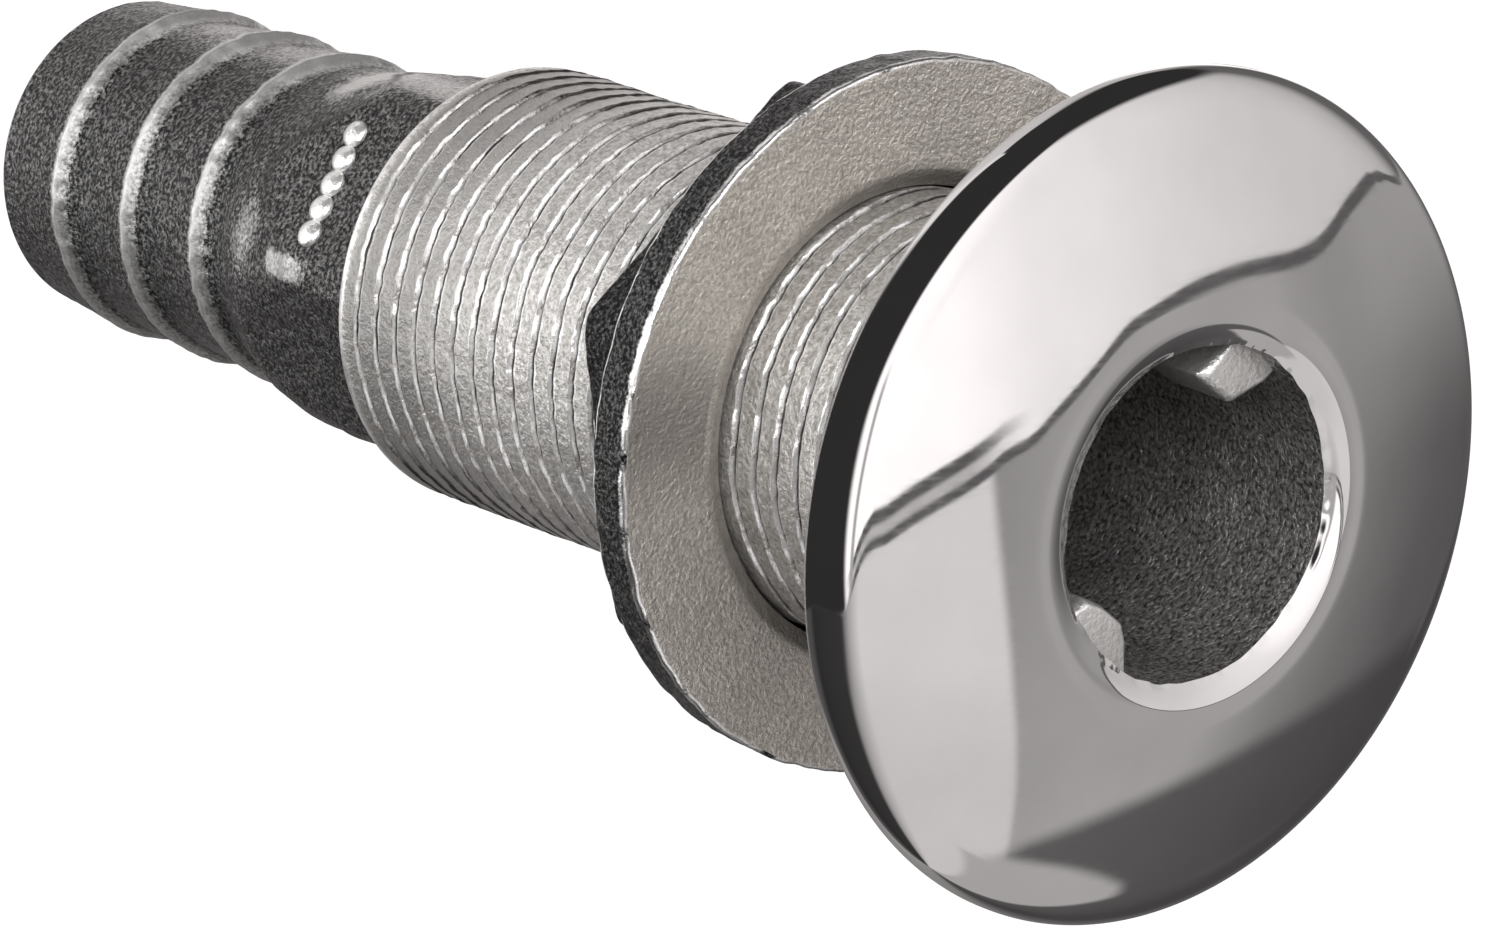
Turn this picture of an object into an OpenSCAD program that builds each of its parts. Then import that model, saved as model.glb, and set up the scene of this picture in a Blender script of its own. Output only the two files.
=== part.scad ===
// Mushroom-head thru hull fitting with a hose tail.
//
// One casting runs through the hull: domed head outboard, threaded barrel, wrench hexagon and
// barbed hose tail inboard. A round flange washer and a hexagonal backing nut ride on the barrel
// and clamp the hull against the head.
//
// Frame: the origin is the centre of the head's flat back, where it seals on the hull.
// +Y runs along the bore towards the hose tail, +Z is up. Millimetres.

/* [Head] */
// Outer radius of the mushroom head
head_r = 31; // [28:0.5:34]
// Radius of the sphere that the dome is part of
dome_r = 80; // [70:1:110]
// Radius of the rounded rim
rim_r = 1.3; // [0.8:0.1:1.8]
// Radius of the polished lip round the mouth of the bore
lip_r = 1.6; // [1:0.1:2]

/* [Bore] */
// Radius of the bore through the head and barrel
bore_r = 12.2; // [11:0.1:12.6]
// Radius of the bore through the hose tail
tail_bore_r = 10; // [8:0.1:10.5]
// Angle of the first driver lug, from +X towards +Z
lug_turn = 55; // [0:1:90]
// Width of a driver lug round the bore
lug_w = 6.4; // [4:0.1:8]
// How far a driver lug stands in from the bore wall
lug_reach = 3.4; // [2:0.1:4]
// Length of a driver lug along the bore
lug_len = 9; // [5:0.5:14]
// Depth of the lugs' front face behind the back of the head's lip
lug_inset = 1.9; // [1:0.1:4]

/* [Barrel] */
// Crest radius of the thread, 1 inch parallel pipe size
thread_r = 16.6; // [16.4:0.05:16.8]
// Thread pitch, 11 turns to the inch
pitch = 2.309; // [2.309, 1.814]
// Depth of the thread grooves
thread_d = 0.65; // [0.5:0.05:1.2]
// Width of a groove where it opens at the crest
groove_w = 0.8; // [0.7:0.05:1.5]
// Width of a groove's floor
groove_floor = 0.3; // [0.2:0.05:0.5]
// End of the threaded barrel
barrel_end = 70.8; // [66:0.1:72]

/* [Wrench hexagon] */
// Distance across the flats
wrench_af = 27.4; // [26.4:0.1:28]
// Radius that rounds the corners off
wrench_round_r = 15.2; // [14.6:0.1:15.4]
// Angle of one corner, from +X towards +Z
wrench_turn = 52; // [0:1:59]
// Where the hexagon's full section ends
wrench_end = 85; // [82:0.5:86]

/* [Hose tail] */
// Crest radius of the barbs, for 25 mm hose
barb_r = 13.2; // [13:0.05:13.4]
// Root radius between the barbs
barb_root_r = 12.5; // [12.2:0.05:12.7]
// Crest of the barb nearest the head
first_barb = 93.6; // [93:0.1:95]
// Spacing of the barbs
barb_step = 8.9; // [8.5:0.1:9]
// End of the tail
tail_end = 119.6; // [118:0.1:122]

/* [Flange washer] */
// Radius at the face that bears on the hull
washer_r = 26.4; // [24:0.1:28]
// Thickness
washer_t = 3.8; // [3:0.1:5]
// Radius of the countersink at the face
sink_r = 18.4; // [17.8:0.1:19]
// Where the bearing face sits at rest, which is the thickness of hull shown
hull_t = 25; // [12:0.5:45]

/* [Hex nut] */
// Distance across the flats
nut_af = 41.4; // [40:0.1:43]
// Height
nut_h = 6.2; // [5:0.1:8]
// Radius that rounds the corners off
nut_round_r = 23.5; // [23:0.1:24]
// Angle of one corner at rest, from +X towards +Z
nut_turn = 37; // [0:1:59]

/* [Hidden] */
$fn = 96;
eps = 0.01;
cast_grey = [0.36, 0.35, 0.34];
satin_grey = [0.66, 0.65, 0.63];

// Dome: the sphere's centre, placed so that the sphere is tangent to the rim's rounding.
rim_c = [head_r - rim_r, -rim_r];
dome_y = rim_c[1] + sqrt(pow(dome_r - rim_r, 2) - pow(rim_c[0], 2));
// Lip: its rounding is tangent to the bore and to the dome.
lip_c = [bore_r + lip_r, dome_y - sqrt(pow(dome_r - lip_r, 2) - pow(bore_r + lip_r, 2))];
dome_reach = 1.1;

// Thread: plain neck at the head, then one groove per pitch.
neck_r = thread_r - 0.95;
neck_end = 2.6;
neck_cone = 0.8;
thread_lead = 0.5;
crest_land = 1.4;
last_land = 1;
groove_first = neck_end + neck_cone + crest_land;
groove_n = floor((barrel_end - groove_first - last_land) / pitch) + 1;

// Tail: the bore narrows behind the thread, and each barb has a short land at its crest.
bore_step = 66;
bore_cone_end = 71;
barb_land = 0.6;
barb_n = 3;
barb_fall = 0.7;
tail_tip_r = barb_root_r - 0.1;
tip_chamfer = 0.5;

// Wrench hexagon: a cone, then a longer one down to the first barb.
neck_flare_y = wrench_end - 1;
shoulder_y = first_barb - barb_land / 2 - barb_fall;
shoulder_fall = 0.9;
shoulder_l = 3.4;
hex_cos = cos(30);
overlap = 0.5;

// Driver lugs: a sloped front, a worn inner corner and a sloped back, set into the bore wall.
lug_root_r = bore_r + 1;
lug_inner_r = bore_r - lug_reach;
lug_slope = 0.3;
lug_corner = [0.8, 1.1];
lug_back = 2;

// Nut and washer: clearances, worn edges and the nut's small back chamfer.
washer_bore_r = thread_r + 0.35;
nut_bore_r = thread_r + 0.08;
turn_gap = 0.1;
edge_bevel = 0.5;
washer_draft = 0.25;
nut_face_r = 22.9;
nut_chamfer_h = 0.4;
nut_y = hull_t + washer_t + turn_gap;

// Turns a body of revolution, drawn as radius and height, so that its height runs along +Y.
module along_y() rotate([-90, 0, 0]) children();

// Outline of the head: dome, rounded rim and rounded lip, down to the flat back.
module head_outline() {
    intersection() {
        translate([0, dome_y]) circle(r = dome_r, $fn = 720);
        polygon([
            [bore_r, eps], [bore_r, lip_c[1]], lip_c,
            [lip_c[0] * dome_reach, dome_y + (lip_c[1] - dome_y) * dome_reach],
            [rim_c[0] * dome_reach, dome_y + (rim_c[1] - dome_y) * dome_reach],
            rim_c, [rim_c[0], 0], [neck_r, 0], [neck_r, eps]
        ]);
    }
    translate(rim_c) circle(r = rim_r);
    translate(lip_c) circle(r = lip_r);
}

// One groove of the barrel's thread, from its near edge to its far edge.
function groove(y) = [
    [thread_r, y - groove_w / 2], [thread_r - thread_d, y - groove_floor / 2],
    [thread_r - thread_d, y + groove_floor / 2], [thread_r, y + groove_w / 2]
];

// One barb: the step that faces the head, then the crest's land.
function barb(y) = [
    [barb_root_r, y - barb_land / 2 - barb_fall], [barb_r, y - barb_land / 2],
    [barb_r, y + barb_land / 2]
];

// Outline of the barrel and tail, outside and inside.
module shank_outline() {
    thread = [for (i = [0 : groove_n - 1]) each groove(groove_first + i * pitch)];
    barbs = [for (i = [0 : barb_n - 1]) each barb(first_barb + i * barb_step)];
    polygon(concat(
        [[bore_r, 0], [neck_r, 0], [neck_r, neck_end], [thread_r, neck_end + neck_cone]],
        thread,
        [
            [thread_r, barrel_end - thread_lead], [thread_r - thread_lead, barrel_end],
            [wrench_af / 2 - eps, barrel_end], [wrench_af / 2 - eps, neck_flare_y]
        ],
        barbs,
        [
            [tail_tip_r, tail_end - tip_chamfer], [tail_tip_r - tip_chamfer, tail_end],
            [tail_bore_r, tail_end], [tail_bore_r, bore_cone_end], [bore_r, bore_step]
        ]
    ));
}

// Envelope of the wrench hexagon: rounded corners, then a shoulder down to the first barb.
module wrench_outline() {
    polygon([
        [tail_bore_r + eps, barrel_end - overlap], [wrench_round_r, barrel_end - overlap],
        [wrench_round_r, wrench_end], [wrench_round_r - shoulder_fall, wrench_end + shoulder_l],
        [barb_root_r, shoulder_y], [tail_bore_r + eps, shoulder_y]
    ]);
}

// A straight lug that stands in from the bore wall, with a sloped front.
module lug() {
    face_y = lip_c[1] + lug_inset;
    translate([0, 0, -lug_w / 2])
        linear_extrude(lug_w)
            polygon([
                [lug_root_r, face_y - lug_slope], [lug_inner_r + lug_corner[0], face_y],
                [lug_inner_r, face_y + lug_corner[1]], [lug_inner_r, face_y + lug_len - lug_back],
                [lug_root_r, face_y + lug_len]
            ]);
}

// The casting: head, barrel, wrench hexagon, hose tail and the two driver lugs in the bore.
module hull_fitting() {
    color(cast_grey) {
        along_y() rotate_extrude() {
            head_outline();
            shank_outline();
        }
        intersection() {
            along_y() rotate_extrude() wrench_outline();
            along_y() rotate([0, 0, -wrench_turn]) difference() {
                translate([0, 0, barrel_end - overlap])
                    linear_extrude(shoulder_y - barrel_end + 2 * overlap)
                        circle(r = wrench_af / 2 / hex_cos, $fn = 6);
                cylinder(h = tail_end, r = tail_bore_r + overlap);
            }
        }
        for (side = [0, 180])
            rotate([0, -lug_turn - side, 0]) lug();
    }
}

// The round flange washer that bears on the inside of the hull.
module flange_washer() {
    color(satin_grey)
        along_y() translate([0, 0, hull_t]) rotate_extrude() polygon([
            [sink_r, 0], [washer_r - edge_bevel, 0], [washer_r, edge_bevel],
            [washer_r - washer_draft, washer_t - edge_bevel / 2],
            [washer_r - washer_draft - edge_bevel / 2, washer_t],
            [washer_bore_r, washer_t], [washer_bore_r, sink_r - washer_bore_r]
        ]);
}

// The hexagonal backing nut that turns on the thread and drives the washer along.
module hex_nut() {
    color(cast_grey)
        along_y() translate([0, 0, nut_y]) difference() {
            intersection() {
                rotate([0, 0, -nut_turn])
                    linear_extrude(nut_h) circle(r = nut_af / 2 / hex_cos, $fn = 6);
                rotate_extrude() polygon([
                    [0, 0], [nut_round_r, 0], [nut_round_r, nut_h - nut_chamfer_h],
                    [nut_face_r, nut_h], [0, nut_h]
                ]);
            }
            translate([0, 0, -overlap]) cylinder(h = nut_h + 2 * overlap, r = nut_bore_r);
        }
}

hull_fitting();
flange_washer();
hex_nut();
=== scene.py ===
"""Looks of the thru hull fitting: the casting, flange washer and hex nut as detailed cast metal.

Every outline is worked out in millimetres in the frame of the part: the bore runs along Y, the
domed head faces -Y, and angles are measured round the bore from +X towards +Z.
"""
import math

import bpy
import numpy as np
from mathutils import Matrix, Vector


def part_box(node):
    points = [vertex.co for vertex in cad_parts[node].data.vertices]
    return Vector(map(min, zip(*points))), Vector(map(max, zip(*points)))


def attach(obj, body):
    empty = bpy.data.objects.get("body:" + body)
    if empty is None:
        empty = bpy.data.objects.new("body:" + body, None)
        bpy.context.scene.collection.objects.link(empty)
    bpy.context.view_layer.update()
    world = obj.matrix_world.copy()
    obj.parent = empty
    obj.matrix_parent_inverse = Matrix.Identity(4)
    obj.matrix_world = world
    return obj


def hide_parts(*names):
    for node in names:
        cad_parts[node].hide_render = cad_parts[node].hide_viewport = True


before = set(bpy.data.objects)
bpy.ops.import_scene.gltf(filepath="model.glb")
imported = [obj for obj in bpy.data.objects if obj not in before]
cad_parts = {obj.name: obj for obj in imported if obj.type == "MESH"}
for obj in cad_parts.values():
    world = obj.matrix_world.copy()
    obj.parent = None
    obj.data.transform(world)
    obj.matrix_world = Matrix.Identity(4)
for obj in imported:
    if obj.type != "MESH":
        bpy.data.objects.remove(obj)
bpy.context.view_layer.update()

MM = 0.001
TURN = 2 * math.pi
# Points nearer than this, in metres, are merged.
MERGE = 1e-8

# Sizes that come from the frame.
fitting_lo, fitting_hi = (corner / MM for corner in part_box("hull_fitting"))
washer_lo, washer_hi = (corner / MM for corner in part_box("flange_washer"))
nut_lo, nut_hi = (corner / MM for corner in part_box("hex_nut"))
HEAD_R = fitting_hi.x
TAIL_END = fitting_hi.y

# Head: spherical dome that rolls off to a thin edge, and a soft lip round the mouth.
DOME_R = 80.0
DOME_EDGE = (28.4, -3.19)
DOME_CENTRE_Y = DOME_EDGE[1] + math.sqrt(DOME_R ** 2 - DOME_EDGE[0] ** 2)
RIM_FRONT, RIM_BACK = -1.8, -0.9
BACK_ROUND = 0.5
LIP_START_R = 15.6
LIP_END = (12.2, -6.05)
LIP_END_SLOPE = math.radians(28)
SLEEVE_R = 13.6
SLEEVE_FRONT = LIP_END[1] + 0.9
BORE_R = 12.2
NECK_R = 15.65
NECK_FILLET = 0.6
HEAD_JOIN = 1.5

# Barrel: one right-hand thread, 11 turns to the inch.
THREAD_R = 16.75
PITCH = 2.309
GROOVE_DEPTH = 0.45
FIRST_GROOVE = 4.8
THREAD_START = 2.6
NECK_CONE = 0.8
BARREL_END = 70.8
BARREL_CHAMFER = 0.55
TAIL_BORE_R = 10.0
BORE_STEP = 66.0

# Wrench hexagon, whose shoulder falls away sooner at its upper side, and hose tail.
WRENCH_AF = 27.4
WRENCH_ROUND_R = 15.2
WRENCH_TURN = math.radians(52)
UPPER_SIDE = math.radians(67)
UPPER_SHOULDER = ((80, 15.2), (81.2, 14.5), (83.8, 13.8), (86.4, 13.2), (91.5, 12.5))
LOWER_SHOULDER = ((80, 15.2), (84.3, 14.8), (87.6, 14.1), (89.5, 13.2), (91, 12.6), (92.5, 12.5))
BARB_R = 13.2
BARB_ROOT_R = 12.5
BARB_Y = (93.6, 102.5, 111.4)
BARB_STEP = 1.9
BARB_CREST_END = 0.3
TIP_R = BARB_ROOT_R - 0.1
TIP_ROUND = 0.5
TIP_BORE_ROUND = 0.4
# Where the painted sheen along the top is strongest, and where along y it weakens.
SHEEN_TURN = math.radians(91)
SHEEN_FALL = (84.0, 88.0)
SHOULDER_HIGHLIGHTS = (
    # painted highlights where light falls on the shoulder: angle in degrees, y, spread in radians,
    # length, amount
    (168, 86.4, 0.30, 2.6, 0.47),
    (105, 85.5, 0.20, 1.8, 0.62),
)

# Flange washer, which hangs by its clearance, and nut.
WASHER_R = washer_hi.x
WASHER_BORE_R = 17.05
SINK_DEPTH = 0.75
WASHER_DROP = 0.1
SINK_R = 18.4
# Angle of the painted shade on the washer's face, where the head shades it.
HEAD_SHADE_TURN = math.radians(170)
NUT_AF = 41.4
NUT_ROUND_R = 23.5
NUT_TURN = math.radians(37)
NUT_BORE_R = 16.86
NUT_THREAD_R = NUT_BORE_R + 0.06
NUT_THREAD_DEPTH = 0.4

# Columns of the meshes round the bore: head and tail, barrel, and washer and nut. The export
# thins a piece of over 200,000 triangles.
COLUMNS = 280
BARREL_COLUMNS = 240
CLAMP_COLUMNS = 360

# Angle of the side that faces the key lights: painted highlights are strongest there and painted shade
# weakest.
LIT_TURN = math.radians(158)

# Row of plain pips on one flat of the wrench hexagon.
PIP_COUNT = 5
PIP_R, PIP_HEIGHT = 1.14, 0.62
PIP_STEP = 2.1

# Studio lights, aimed at the middle of the barrel.
LAMP_DISTANCE = 1.3
SOFT_BOXES = (
    # name, azimuth and elevation in degrees, size in metres, power in watts
    ("key_left", -134, 10, (1.0, 1.4), 8.0),
    ("side_left", -98, 14, (0.8, 1.0), 6.0),
    ("front_left", -42, 28, (1.0, 0.9), 14.0),
    ("front_top", 12, 42, (1.0, 0.8), 4.5),
    ("front_low", -30, -38, (1.0, 0.8), 2.5),
    ("back_top", 170, 55, (0.8, 0.8), 0.8),
    ("side_right", 112, -8, (0.9, 0.9), 3.0),
)


# ---------------------------------------------------------------- shapes

def columns(count=COLUMNS):
    """Angles of the mesh columns round the bore."""
    return np.arange(count) * TURN / count


def ripple(turn, y, waves, length, size, seed, count=14):
    """Smooth seeded unevenness round and along the bore, whose usual height is size."""
    rng = np.random.default_rng(seed)
    total = np.zeros(np.broadcast(turn, y).shape)
    for _ in range(count):
        total += np.cos(rng.integers(*waves) * turn + rng.uniform(-1, 1) * TURN / length * y
                        + rng.uniform(0, TURN))
    return total * size * math.sqrt(2 / count)


def dents(x, z, shortest, longest, size, seed, count=16):
    """Smooth seeded unevenness over a face, whose usual height is size."""
    rng = np.random.default_rng(seed)
    total = np.zeros(np.broadcast(x, z).shape)
    for _ in range(count):
        k, way = TURN / rng.uniform(shortest, longest), rng.uniform(0, TURN)
        total += np.cos(k * (x * math.cos(way) + z * math.sin(way)) + rng.uniform(0, TURN))
    return total * size * math.sqrt(2 / count)


def smooth_step(value, start, end):
    """0 at start and beyond it, 1 at end and beyond it, and an even curve between them."""
    t = np.clip((value - start) / (end - start), 0, 1)
    return t * t * (3 - 2 * t)


def soft_min(a, b, blend):
    """The lesser of two radii, rounded where they cross."""
    t = np.clip(0.5 + 0.5 * (b - a) / blend, 0, 1)
    return b + (a - b) * t - blend * t * (1 - t)


def arc(centre, radius, start, end, count):
    """Points (r, y) of an arc; angles in degrees from the radial direction towards +Y."""
    angle = np.radians(np.linspace(start, end, count))
    return np.stack([centre[0] + radius * np.cos(angle), centre[1] + radius * np.sin(angle)], 1)


def line(start, end, count):
    """Points (r, y) of a straight stretch, without its first point."""
    return np.linspace(start, end, count + 1)[1:]


def curve(start, leaving, arriving, end, count):
    """Points (r, y) of a cubic curve, without its first point."""
    t = np.linspace(0, 1, count + 1)[1:, None]
    start, leaving, arriving, end = (np.array(p) for p in (start, leaving, arriving, end))
    return ((1 - t) ** 3 * start + 3 * t * (1 - t) ** 2 * leaving
            + 3 * t ** 2 * (1 - t) * arriving + t ** 3 * end)


def rounded_interp(y, knots, spread):
    """A profile's radius along y, with its corners rounded over that spread."""
    places, radii = zip(*knots)
    return sum(np.interp(y + shift, places, radii) for shift in np.linspace(-spread, spread, 7)) / 7


def hex_radius(turn, across, corner_turn):
    """Distance from the axis to a hexagon's flats."""
    beside = np.mod(turn - corner_turn, TURN / 6) - TURN / 12
    return across / 2 / np.cos(beside)


def ring_piece(name, r, y, looks, look_of_face=None, wrap=None, sharp=38, wear_and_highlight=0.0, dirt_and_shade=0.0):
    """A closed mesh from rows of points round the bore: r and y hold one row per outline point.

    The last row joins the first. Where rows follow a screw line, wrap gives the row that each one
    meets after a full turn. Rows that come together at an end are merged there. Wear and highlight
    says how far each point is rubbed bright or given a painted highlight, and dirt and shade how far
    it is darkened by dirt or by painted shade, for the materials.
    """
    rows, count = r.shape
    turn = columns(count)
    points = np.stack([r * np.cos(turn), y, r * np.sin(turn)], 2).reshape(-1, 3) * MM
    wrap = np.arange(rows) if wrap is None else wrap
    row = np.arange(rows)
    after = (row + 1) % rows
    index = row[:, None] * count + np.arange(count)
    beside = np.roll(index, -1, axis=1)
    beside[:, -1] = wrap * count
    quads = np.stack([index, index[after], beside[after], beside], 2).reshape(-1, 4)
    _, first, back = np.unique(np.round(points / MERGE).astype(np.int64), axis=0,
                               return_index=True, return_inverse=True)
    quads = back.reshape(-1)[quads]
    look = np.zeros((rows, count), int) if look_of_face is None else look_of_face
    faces, kept = [], []
    for quad, chosen in zip(quads.tolist(), look.reshape(-1).tolist()):
        corners = [c for i, c in enumerate(quad) if c != quad[i - 1]]
        if len(set(corners)) == len(corners) > 2:
            faces.append(corners)
            kept.append(chosen)
    mesh = bpy.data.meshes.new(name)
    mesh.from_pydata(points[first], [], faces)
    for material in looks:
        mesh.materials.append(material)
    mesh.polygons.foreach_set("material_index", kept)
    for label, amount in (("wear_and_highlight", wear_and_highlight), ("dirt_and_shade", dirt_and_shade)):
        values = np.broadcast_to(amount, r.shape).reshape(-1)[first]
        mesh.attributes.new(label, "FLOAT", "POINT").data.foreach_set("value", values)
    mesh.shade_smooth()
    mesh.set_sharp_from_angle(angle=math.radians(sharp))
    return add_object(name, mesh)


def add_object(name, mesh):
    """A new object of that mesh, in the scene."""
    piece = bpy.data.objects.new(name, mesh)
    bpy.context.scene.collection.objects.link(piece)
    return piece


def rows_of(outline, count=COLUMNS):
    """Outline points (r, y) repeated round the bore, as two grids."""
    outline = np.asarray(outline)
    ones = np.ones(count)
    return outline[:, :1] * ones, outline[:, 1:] * ones


def bore_unevenness(r, y, turn):
    """The cast wall of the bore isn't quite round."""
    return r + ripple(turn, y, (3, 9), 30, 0.05, 11) + ripple(turn, y, (14, 40), 7, 0.025, 12)


# ---------------------------------------------------------------- materials

def new_material(name, metallic, roughness):
    """A material, its nodes, links and shader, and the object's own coordinates."""
    material = bpy.data.materials.new(name)
    material.use_nodes = True
    nodes, links = material.node_tree.nodes, material.node_tree.links
    shader = nodes["Principled BSDF"]
    shader.inputs["Metallic"].default_value = metallic
    shader.inputs["Roughness"].default_value = roughness
    place = nodes.new("ShaderNodeTexCoord").outputs["Object"]
    return material, nodes, links, shader, place


def noise(nodes, links, place, grain, detail=2.0, rough=0.5, stretch=None):
    """Noise whose grains are that many millimetres across."""
    texture = nodes.new("ShaderNodeTexNoise")
    texture.inputs["Scale"].default_value = 1 / (grain * MM)
    texture.inputs["Detail"].default_value = detail
    texture.inputs["Roughness"].default_value = rough
    if stretch:
        mapping = nodes.new("ShaderNodeMapping")
        mapping.inputs["Scale"].default_value = stretch
        links.new(place, mapping.inputs["Vector"])
        place = mapping.outputs["Vector"]
    links.new(place, texture.inputs["Vector"])
    return texture.outputs["Fac"]


def ramp(nodes, links, factor, stops):
    """Colours or greys along a factor."""
    node = nodes.new("ShaderNodeValToRGB")
    elements = node.color_ramp.elements
    while len(elements) < len(stops):
        elements.new(0.5)
    for element, (position, colour) in zip(elements, stops):
        element.position = position
        element.color = (*colour, 1) if isinstance(colour, tuple) else (colour,) * 3 + (1,)
    links.new(factor, node.inputs["Fac"])
    return node.outputs["Color"]


def mix(nodes, links, factor, a, b, blend="MIX"):
    """Mixes two colour sources; factor is a source or a number."""
    node = nodes.new("ShaderNodeMix")
    node.data_type = "RGBA"
    node.blend_type = blend
    if isinstance(factor, float):
        node.inputs["Factor"].default_value = factor
    else:
        links.new(factor, node.inputs["Factor"])
    links.new(a, node.inputs["A"])
    links.new(b, node.inputs["B"])
    return node.outputs["Result"]


def bump(nodes, links, height, depth, strength=1.0, under=None):
    """A bump of that depth in millimetres, over another bump if one is given.

    The strength is a source or a number.
    """
    node = nodes.new("ShaderNodeBump")
    node.inputs["Distance"].default_value = depth * MM
    if isinstance(strength, float):
        node.inputs["Strength"].default_value = strength
    else:
        links.new(strength, node.inputs["Strength"])
    links.new(height, node.inputs["Height"])
    if under:
        links.new(under, node.inputs["Normal"])
    return node.outputs["Normal"]


def polished_steel():
    """Mirror-polished steel with faint haze and hairline scratches."""
    material, nodes, links, shader, place = new_material("polished_steel", 1.0, 0.05)
    haze = noise(nodes, links, place, 6.0, 3.0)
    links.new(ramp(nodes, links, haze, [(0.3, (0.81, 0.81, 0.81)), (0.7, (0.86, 0.86, 0.86))]),
              shader.inputs["Base Color"])
    hairs = noise(nodes, links, place, 0.5, 3.0, 0.6, stretch=(0.15, 1.0, 1.2))
    links.new(ramp(nodes, links, hairs, [(0.35, 0.025), (0.75, 0.065)]),
              shader.inputs["Roughness"])
    waves = noise(nodes, links, place, 9.0, 1.0)
    links.new(bump(nodes, links, waves, 0.012), shader.inputs["Normal"])
    return material


def grain_broken(nodes, links, label, grain_source):
    """A mesh's wear and painted highlight, or dirt and painted shade, broken up along its edges by the
    grain.
    """
    by_label, by_grain = 0.5, 0.40
    source = nodes.new("ShaderNodeAttribute")
    source.attribute_name = label
    broken = nodes.new("ShaderNodeMath")
    broken.operation = "MULTIPLY_ADD"
    links.new(grain_source, broken.inputs[0])
    broken.inputs[1].default_value = by_grain
    weighted = nodes.new("ShaderNodeMath")
    weighted.operation = "MULTIPLY"
    links.new(source.outputs["Fac"], weighted.inputs[0])
    weighted.inputs[1].default_value = by_label
    links.new(weighted.outputs[0], broken.inputs[2])
    return ramp(nodes, links, broken.outputs[0], [(0.315, 0.0), (0.565, 1.0)])


def cast_steel(name, dark, light, bright, grain, depth, rough, metallic=1.0, patchy=0.14,
               dirt_and_shade_colour=(0.03, 0.028, 0.026), spread=(0.36, 0.64), wear_and_highlight_rough=0.30):
    """Cast steel: an uneven grained skin from dark to light, bright where worn or given a painted
    highlight, dark with dirt or painted shade.
    """
    material, nodes, links, shader, place = new_material(name, metallic, rough)
    skin = noise(nodes, links, place, grain, 3.5, 0.65)
    patch = noise(nodes, links, place, 4.5, 3.0)
    cast_colour = ramp(nodes, links, skin, [(spread[0], dark), (spread[1], light)])
    wear_and_highlight_colour = ramp(nodes, links, skin, [(0.3, tuple(0.8 * c for c in bright)), (0.6, bright)])
    wear_and_highlight = grain_broken(nodes, links, "wear_and_highlight", skin)
    dirt_and_shade = grain_broken(nodes, links, "dirt_and_shade", skin)
    # Wear and painted highlights lighten the colour.
    colour = mix(nodes, links, wear_and_highlight, cast_colour, wear_and_highlight_colour)
    # Dirt and painted shade darken the colour towards the dirt and shade colour.
    colour = mix(nodes, links, dirt_and_shade, colour, ramp(nodes, links, skin, [
        (0.3, dirt_and_shade_colour), (0.75, tuple(3 * c for c in dirt_and_shade_colour))]))
    shade = ramp(nodes, links, patch, [(0.3, 1 - patchy), (0.7, 1.0)])
    links.new(mix(nodes, links, 1.0, colour, shade, "MULTIPLY"), shader.inputs["Base Color"])
    dull = ramp(nodes, links, skin, [(0.3, rough + 0.07), (0.7, rough - 0.07)])
    shiny = ramp(nodes, links, skin, [(0.3, wear_and_highlight_rough + 0.06), (0.7, wear_and_highlight_rough - 0.06)])
    links.new(mix(nodes, links, wear_and_highlight, dull, shiny), shader.inputs["Roughness"])
    relief = ramp(nodes, links, wear_and_highlight, [(0.0, 1.0), (0.8, 0.2)])
    coarse = bump(nodes, links, noise(nodes, links, place, grain * 2.2, 2.0), depth * 0.7, relief)
    links.new(bump(nodes, links, skin, depth, relief, coarse), shader.inputs["Normal"])
    return material


# ---------------------------------------------------------------- pieces

def ragged_edge(turn):
    """How far the cast wall of the bore strays at the polished lip."""
    return 0.3 * (ripple(turn, 0, (5, 28), 1, 0.05, 5, 16)
                  + ripple(turn, 0, (40, 110), 1, 0.02, 6, 16))


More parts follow.
